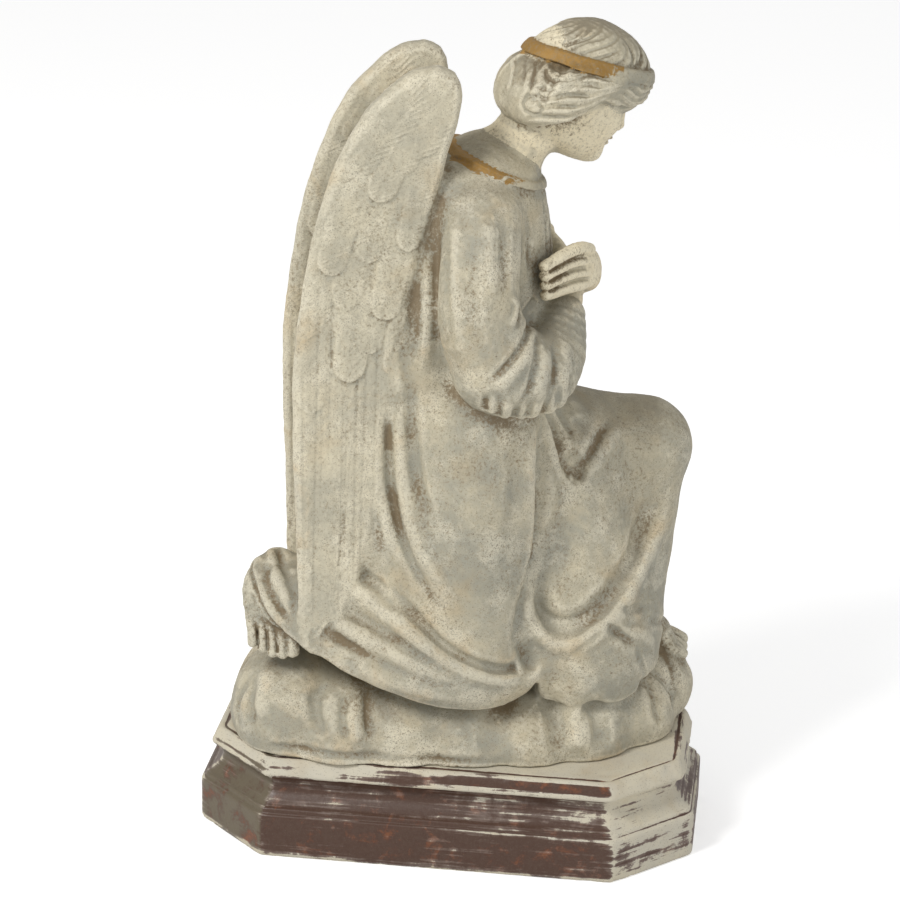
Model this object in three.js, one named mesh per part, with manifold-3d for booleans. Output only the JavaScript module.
// Kneeling angel figurine: a cast figure on a cloud bank, set on a moulded octagonal plinth.
// Units are millimetres, +Z is up, and the origin is the middle of the plinth's underside.
// The plinth is square to the axes. The figure is modelled facing +X in its own frame and
// is turned on the plinth by FIGURE_TURN, with its left hand on the +Y side.
// Every casting is a sum of simple forms. A casting that meets one made before it is cut
// back by that one's forms grown by SEAM, which leaves the thin gap of a glued joint.
import * as THREE from "three";
import { mergeVertices } from "three/addons/utils/BufferGeometryUtils.js";
import Module from "manifold-3d";

const wasm = await Module();
wasm.setup();

// ---- driving dimensions ----
const PLINTH_LENGTH = 242;
const PLINTH_WIDTH = 140;
const PLINTH_CHAMFER = 36; // leg of each cut corner, along the length and the width
const DECK_HEIGHT = 48;
const PLINTH_WALL = 13;
const DECK_THICKNESS = 11;
const FIGURE_TURN = THREE.MathUtils.degToRad(14);
const SEAM = 0.3; // gap left at every glued joint
const WAIST_HEIGHT = 231; // where the robe's two castings meet
const SKIRT_FLOOR = 66; // how far the skirt is let down into the clouds
const HEAD_CENTRE = [47, 1, 364];
const HEAD_PITCH = THREE.MathUtils.degToRad(25); // bowed forward
const HEAD_YAW = THREE.MathUtils.degToRad(12); // turned to its own left
const DOWEL_RADIUS = 2.5;
const PIN_RADIUS = 1.5;
const ARMATURE_RADIUS = 4;

// ---- finishes ----
const paint = (colour, roughness) =>
  new THREE.MeshStandardMaterial({ color: colour, roughness, metalness: 0 });
const AGED_IVORY = paint(0xc9c2ab, 0.62);
const BROWN_PAINT = paint(0x4a2f25, 0.5);
const IRON = new THREE.MeshStandardMaterial({ color: 0x4b4744, roughness: 0.6, metalness: 1 });
const WORN_GILT = new THREE.MeshStandardMaterial({ color: 0xa8792c, roughness: 0.45, metalness: 0.3 });

// ---- solids ----
const X = new THREE.Vector3(1, 0, 0);
const Y = new THREE.Vector3(0, 1, 0);
const Z = new THREE.Vector3(0, 0, 1);

/** A closed geometry as a manifold-3d solid. */
function solidOf(geometry) {
  const bare = geometry.clone();
  bare.deleteAttribute("normal");
  bare.deleteAttribute("uv");
  const merged = mergeVertices(bare, 1e-4);
  return new wasm.Manifold(
    new wasm.Mesh({
      numProp: 3,
      vertProperties: merged.attributes.position.array,
      triVerts: new Uint32Array(merged.index.array),
    }),
  );
}

/** A solid's largest body as a three.js geometry. */
function geometryOf(solid) {
  const bodies = solid.decompose().sort((a, b) => b.volume() - a.volume());
  const mesh = bodies[0].getMesh();
  return new THREE.BufferGeometry()
    .setAttribute("position", new THREE.BufferAttribute(mesh.vertProperties, 3))
    .setIndex(new THREE.BufferAttribute(mesh.triVerts, 1));
}

const join = (solids) => solids.reduce((sum, next) => sum.add(next));

// Each form is a function of grow, the amount by which it is made fatter on every side.

/** An ellipsoid at a centre, with its three half sizes, turned by Euler angles in degrees. */
const ball = (at, half, turn = [0, 0, 0], across = 12, down = 8) => (grow) => {
  const sphere = new THREE.SphereGeometry(1, across, down);
  sphere.rotateX(Math.PI / 2);
  sphere.scale(half[0] + grow, half[1] + grow, half[2] + grow);
  const angles = turn.map((degrees) => THREE.MathUtils.degToRad(degrees));
  const matrix = new THREE.Matrix4().makeRotationFromEuler(new THREE.Euler(...angles));
  sphere.applyMatrix4(matrix.setPosition(...at));
  return solidOf(sphere);
};

/**
 * A tube through stations [x, y, z, wide, deep]: elliptical sections square to the path, with
 * their wide half size along the direction nearest to `wideAxis`. Both ends are domed.
 */
const limb = (stations, wideAxis = Y, sides = 10, steps = 2) => (grow) => {
  const path = new THREE.CatmullRomCurve3(stations.map((s) => new THREE.Vector3(s[0], s[1], s[2])));
  const last = stations.length - 1;
  const halfAt = (t, k) => {
    const i = Math.min(last - 1, Math.floor(t * last));
    const f = t * last - i;
    const blend = f * f * (3 - 2 * f);
    return stations[i][k] * (1 - blend) + stations[i + 1][k] * blend + grow;
  };
  const rings = last * steps;
  const tube = new THREE.CylinderGeometry(1, 1, 1, sides, rings + 4);
  const position = tube.attributes.position;
  const domes = [[0.9, 0.2], [0.6, 0.75]]; // [how far past the end, share of the section]
  for (let v = 0; v < position.count; v += 1) {
    const row = Math.round((position.getY(v) + 0.5) * (rings + 4));
    const ring = Math.min(rings, Math.max(0, row - 2));
    const t = ring / rings;
    const tangent = path.getTangent(t);
    const wide = wideAxis.clone().addScaledVector(tangent, -wideAxis.dot(tangent)).normalize();
    const deep = new THREE.Vector3().crossVectors(wide, tangent);
    const halves = [halfAt(t, 3), halfAt(t, 4)];
    const fromEnd = row < 2 ? row : rings + 4 - row;
    const [past, share] = fromEnd < 2 ? domes[fromEnd] : [0, 1];
    const outward = (row < 2 ? -1 : 1) * past * Math.min(...halves);
    const point = path.getPoint(t).addScaledVector(tangent, outward);
    point.addScaledVector(wide, position.getX(v) * share * halves[0]);
    point.addScaledVector(deep, position.getZ(v) * share * halves[1]);
    position.setXYZ(v, point.x, point.y, point.z);
  }
  return solidOf(tube);
};

/** A straight round bar between two points. */
const rod = (from, to, radius, sides = 10) => (grow) => {
  const start = new THREE.Vector3(...from);
  const run = new THREE.Vector3(...to).sub(start);
  const bar = new THREE.CylinderGeometry(radius + grow, radius + grow, run.length() + 2 * grow, sides);
  const turn = new THREE.Quaternion().setFromUnitVectors(Y, run.clone().normalize());
  bar.applyQuaternion(turn).translate(...start.addScaledVector(run, 0.5));
  return solidOf(bar);
};

/** The forms of a casting joined, at a given growth. */
const cast = (forms, grow) => join(forms.map((form) => form(grow)));

/** Everything above (side 1) or below (side -1) a level, as one big block to cut with. */
function block(level, side) {
  const size = 1000; // more than the whole object
  return solidOf(new THREE.BoxGeometry(size, size, size).translate(0, 0, level + (side * size) / 2));
}

/** Forms laid out in the head's own frame, brought to where the head is. */
const headMatrix = new THREE.Matrix4()
  .makeRotationFromEuler(new THREE.Euler(0, HEAD_PITCH, HEAD_YAW, "ZYX"))
  .setPosition(...HEAD_CENTRE);
const onHead = (form) => (grow) => form(grow).transform(headMatrix.elements);

// ---- plinth ----
/** The octagon at one inset from the plinth's outline, as eight [x, y] corners. */
function octagon(inset) {
  const halfLength = PLINTH_LENGTH / 2 - inset;
  const halfWidth = PLINTH_WIDTH / 2 - inset;
  const cut = PLINTH_CHAMFER - inset * (2 - Math.SQRT2);
  const quarter = [[halfLength, halfWidth - cut], [halfLength - cut, halfWidth]];
  const turned = quarter.map(([x, y]) => [-x, y]).reverse();
  return [...quarter, ...turned, ...[...quarter, ...turned].map(([x, y]) => [-x, -y])];
}

/** A moulding of octagons stacked by [height, inset] pairs, closed top and bottom. */
function moulding(profile) {
  const shape = new THREE.CylinderGeometry(1, 1, 1, 8, profile.length - 1);
  shape.rotateX(Math.PI / 2);
  const position = shape.attributes.position;
  for (let v = 0; v < position.count; v += 1) {
    const row = Math.round((position.getZ(v) + 0.5) * (profile.length - 1));
    const [height, inset] = profile[row];
    const onAxis = Math.hypot(position.getX(v), position.getY(v)) < 0.5;
    const eighth = Math.round((Math.atan2(position.getY(v), position.getX(v)) / Math.PI) * 4 + 8) % 8;
    const [x, y] = onAxis ? [0, 0] : octagon(inset)[eighth];
    position.setXYZ(v, x, y, height);
  }
  return solidOf(shape);
}

const BLOCK_HEIGHT = 22;
const CAP_BOTTOM = 39.5;
const COVE_DEPTH = 4.2; // how far the cove falls behind the line between its two fillets
const cove = [0, 1, 2, 3, 4, 5, 6].map((step) => {
  const t = step / 6;
  return [25 + t * (CAP_BOTTOM - 25), 3.5 + 4 * t + COVE_DEPTH * Math.sin(Math.PI * t)];
});
const PLINTH_PROFILE = [
  [0, 1.2],
  [1.2, 0],
  [BLOCK_HEIGHT, 0],
  [BLOCK_HEIGHT + 0.4, 1.8],
  [BLOCK_HEIGHT + 2.4, 2],
  ...cove,
  [CAP_BOTTOM + 0.2, 5.4],
  [CAP_BOTTOM + 2, 5],
  [DECK_HEIGHT - 0.8, 8.2],
  [DECK_HEIGHT, 9.2],
];
const RECESS_TOP = DECK_HEIGHT - DECK_THICKNESS;
const recess = moulding([[-1, PLINTH_WALL], [RECESS_TOP - 6, PLINTH_WALL + 3], [RECESS_TOP, PLINTH_WALL + 9]]);

// ---- the castings' forms, in the figure's frame ----
const CLOUD_FORMS = [
  ball([-76, -6, 62], [34, 34, 33]),
  ball([-56, -22, 56], [40, 32, 33]),
  ball([-24, -26, 52], [42, 35, 38]),
  ball([14, -26, 50], [46, 34, 34]),
  ball([50, -22, 52], [38, 34, 34]),
  ball([78, 0, 54], [32, 34, 34]),
  ball([93, 6, 66], [26, 24, 22]),
  ball([20, 14, 52], [52, 32, 42]),
  ball([56, 18, 52], [40, 26, 34]),
  ball([-36, 26, 52], [44, 34, 38]),
  ball([-74, 24, 54], [32, 28, 34]),
];

const SKIRT_FORMS = [
  limb([[3, -1, 244, 37, 39], [-1, -4, 204, 43, 47], [-8, -8, 166, 47, 48], [-15, -11, 128, 48, 54],
    [-16, -11, 98, 49, 56]], Y, 16),
  limb([[4, -24, 118, 32, 32], [-34, -24, 112, 30, 30], [-66, -20, 112, 26, 28], [-86, -15, 118, 20, 25]]),
  limb([[12, 12, 206, 32, 28], [52, 14, 200, 28, 22], [93, 15, 189, 24, 23]]),
  limb([[92, 14, 186, 25, 22], [89, 10, 146, 28, 23], [79, 6, 104, 34, 25]], Y),
  limb([[48, 2, 186, 34, 34], [46, -6, 142, 40, 38], [46, -12, 100, 46, 42]], Y, 12),
];

const TORSO_FORMS = [
  limb([[3, -1, 220, 37, 40], [4, 0, 252, 37, 37], [8, 0, 290, 40, 33], [6, 0, 318, 39, 25],
    [7, 0, 331, 24, 17]], Y, 16),
];

const sleeve = (side) => [
  limb([[0, side * 33, 322, 16, 16], [-1, side * 42, 290, 18, 18], [6, side * 45, 258, 22, 22],
    [18, side * 45, 246, 21, 21]], X),
  limb([[18, side * 44, 246, 20, 20], [34, side * 34, 250, 17, 19], [47, side * 20, 266, 11, 13]], Z),
];

const LEFT_HAND_FORMS = [
  limb([[48, 12, 269, 8, 7], [55, -2, 276, 12, 6], [52, -13, 279, 11, 5]], Z, 8, 1),
  ...[0, 1, 2, 3].map((finger) =>
    limb([[53, -11, 287 - 5.2 * finger, 2.9, 2.9], [43, -24, 288.5 - 5.4 * finger, 2.8, 2.8],
      [33, -32, 286 - 5.2 * finger, 2.3, 2.3]], Z, 6, 1)),
];
const RIGHT_HAND_FORMS = [
  limb([[47, -12, 265, 7, 6.5], [47, 8, 279, 10, 5.5], [42, 22, 291, 9, 4.5]], Z, 8, 1),
  ...[0, 1, 2, 3].map((finger) =>
    limb([[44, 18 + 1.5 * finger, 298 - 5 * finger, 2.7, 2.7], [37, 33, 301 - 5 * finger, 2.3, 2.3]], Z, 6, 1)),
];

const HEAD_FORMS = [
  onHead(ball([0, 0, 3], [28, 24, 27])),
  onHead(ball([14, 0, -15], [15, 17, 20])),
  onHead(ball([22, 0, -27], [7, 8, 7], [0, 0, 0], 8, 6)),
  onHead(ball([29, 0, -12], [5, 4, 7], [0, 0, 0], 8, 6)),
];
const NECK_FORMS = [limb([[13, 0, 316, 16, 15], [22, 0, 334, 15, 14], [33, 0, 350, 15, 15]], Y, 10)];
const HAIR_FORMS = [
  onHead(ball([-2, 0, 6], [33.5, 29, 28], [0, 0, 0], 16, 10)),
  onHead(ball([-20, 0, -12], [16, 20, 15])),
  onHead(ball([22, 0, 13], [14, 21, 12])),
];

const wing = (side) => [
  limb([[-21, side * 30, 370, 13, 7], [-30, side * 30, 361, 20, 8], [-41, side * 30, 331, 27, 8],
    [-51, side * 31, 295, 30, 7.5], [-58, side * 33, 259, 29, 6.5], [-62, side * 35, 232, 26, 6],
    [-65, side * 37, 198, 23, 5.5], [-68, side * 39, 165, 20, 5], [-71, side * 41, 137, 15, 4.5],
    [-74, side * 42, 118, 10, 4]], X, 10, 1),
  // the root, a broad web that is glued to the shoulder blade
  limb([[-44, side * 26, 292, 46, 6], [-20, side * 19, 288, 42, 8]], Z, 10, 1),
];

const toes = (from, step, reach, radii) =>
  radii.map((radius, k) => {
    const root = from.map((value, i) => value + step[i] * k);
    const tip = root.map((value, i) => value + reach[i]);
    return limb([[...root, radius, radius], [...tip, radius * 0.85, radius * 0.85]], Z, 6, 1);
  });
const TRAILING_FOOT_FORMS = [
  limb([[-91, -12, 137, 9, 8], [-97, -15, 121, 11, 7], [-98, -17, 109, 12, 5.5]], Y, 8, 1),
  ...toes([-99, -6, 108], [0, -5.4, -0.4], [-1, -1, -11], [3, 2.7, 2.6, 2.5, 2.3]),
];
const FRONT_FOOT_FORMS = [
  limb([[84, 6, 94, 10, 9], [100, 7, 88, 11, 7], [107, 8, 85, 12, 5]], Y, 8, 1),
  ...toes([107, -1.5, 84], [0.6, 5, 0], [9, 0, -2.5], [2.4, 2.5, 2.6, 2.8, 3.2]),
];

/** A flat band [half width, half thickness] along a closed ellipse, with a tilt in degrees about Y. */
const ring = (at, half, section, tilt, steps = 24) => (grow) => {
  const [halfWide, halfThick] = section.map((value) => value + grow);
  const outline = [[-1, -1], [1, -1], [1, 1], [-1, 1]];
  const band = new THREE.LatheGeometry(
    [...outline, outline[0]].map(([u, w]) => new THREE.Vector2(1 + u * 1e-3, w)), steps);
  band.rotateX(Math.PI / 2);
  const position = band.attributes.position;
  for (let v = 0; v < position.count; v += 1) {
    const angle = Math.atan2(position.getY(v), position.getX(v));
    const out = Math.hypot(position.getX(v), position.getY(v)) > 1 ? halfThick : -halfThick;
    const rise = position.getZ(v) > 0 ? halfWide : -halfWide;
    position.setXYZ(v, (half[0] + out) * Math.cos(angle), (half[1] + out) * Math.sin(angle), rise);
  }
  band.rotateY(THREE.MathUtils.degToRad(tilt));
  band.translate(...at);
  return solidOf(band);
};
const DIADEM_FORMS = [onHead(ring([-1, 0, 12], [33.5, 28], [4, 1.8], -14))];
const COLLAR_FORMS = [ring([16.5, 0, 326], [21.5, 17.5], [3.4, 1.8], 30)];

const DOWELS = {
  right_wing_dowel_upper: rod([-30, -31, 322], [-6, -14, 318], DOWEL_RADIUS),
  right_wing_dowel_lower: rod([-50, -34, 262], [-16, -18, 258], DOWEL_RADIUS),
  left_wing_dowel_upper: rod([-30, 31, 322], [-6, 14, 318], DOWEL_RADIUS),
  left_wing_dowel_lower: rod([-50, 34, 262], [-16, 18, 258], DOWEL_RADIUS),
  neck_dowel: rod([9, 0, 298], [36, 0, 354], DOWEL_RADIUS),
};
const PINS = {
  right_wrist_pin: rod([38, -30, 256], [46, -6, 270], PIN_RADIUS, 8),
  left_wrist_pin: rod([38, 30, 256], [50, 6, 271], PIN_RADIUS, 8),
};
const ARMATURE = rod([0, 0, 40], [0, 0, 282], ARMATURE_RADIUS, 10);

// ---- assembly ----
const hardware = { ...DOWELS, ...PINS, armature_rod: ARMATURE };
const hardwareHoles = cast(Object.values(hardware), SEAM);

/** A casting: its forms, its finish, and the levels that its mating faces are cut at. */
const castings = [
  { name: "cloud_mound", forms: CLOUD_FORMS, floor: DECK_HEIGHT + SEAM },
  { name: "trailing_foot", forms: TRAILING_FOOT_FORMS },
  { name: "front_foot", forms: FRONT_FOOT_FORMS },
  { name: "robe_skirt", forms: SKIRT_FORMS, floor: SKIRT_FLOOR, ceiling: WAIST_HEIGHT },
  { name: "collar_band", forms: COLLAR_FORMS, finish: WORN_GILT },
  { name: "diadem", forms: DIADEM_FORMS, finish: WORN_GILT },
  { name: "left_hand", forms: LEFT_HAND_FORMS },
  { name: "right_hand", forms: RIGHT_HAND_FORMS },
  { name: "head", forms: [...HEAD_FORMS, ...NECK_FORMS] },
  { name: "hair", forms: HAIR_FORMS },
  { name: "robe_torso", forms: TORSO_FORMS, floor: WAIST_HEIGHT + SEAM },
  { name: "right_sleeve", forms: sleeve(-1) },
  { name: "left_sleeve", forms: sleeve(1) },
  { name: "right_wing", forms: wing(-1) },
  { name: "left_wing", forms: wing(1) },
];

/** One casting's whole outer shape, grown on every side, before its neighbours are cut out of it. */
function castingShape({ forms, floor, ceiling }, grow) {
  let solid = cast(forms, grow);
  if (floor !== undefined) solid = solid.subtract(block(floor - grow, -1));
  if (ceiling !== undefined) solid = solid.subtract(block(ceiling + grow, 1));
  return solid;
}

const angel = new THREE.Group();
const figure = new THREE.Group();
figure.rotation.z = FIGURE_TURN;
angel.add(figure);

/** Adds one named mesh to a group. */
function place(group, name, solid, finish) {
  const mesh = new THREE.Mesh(geometryOf(solid), finish);
  mesh.name = name;
  group.add(mesh);
}

const figureTurn = new THREE.Matrix4().makeRotationZ(FIGURE_TURN);
const plinthHoles = hardwareHoles.transform(figureTurn.elements);
place(angel, "plinth", moulding(PLINTH_PROFILE).subtract(recess).subtract(plinthHoles), BROWN_PAINT);
castings.forEach((casting, index) => {
  const earlier = castings.slice(0, index).map((other) => castingShape(other, SEAM));
  const solid = castingShape(casting, 0).subtract(join([hardwareHoles, ...earlier]));
  place(figure, casting.name, solid, casting.finish ?? AGED_IVORY);
});
for (const [name, form] of Object.entries(hardware)) place(figure, name, form(0), IRON);

export default angel;
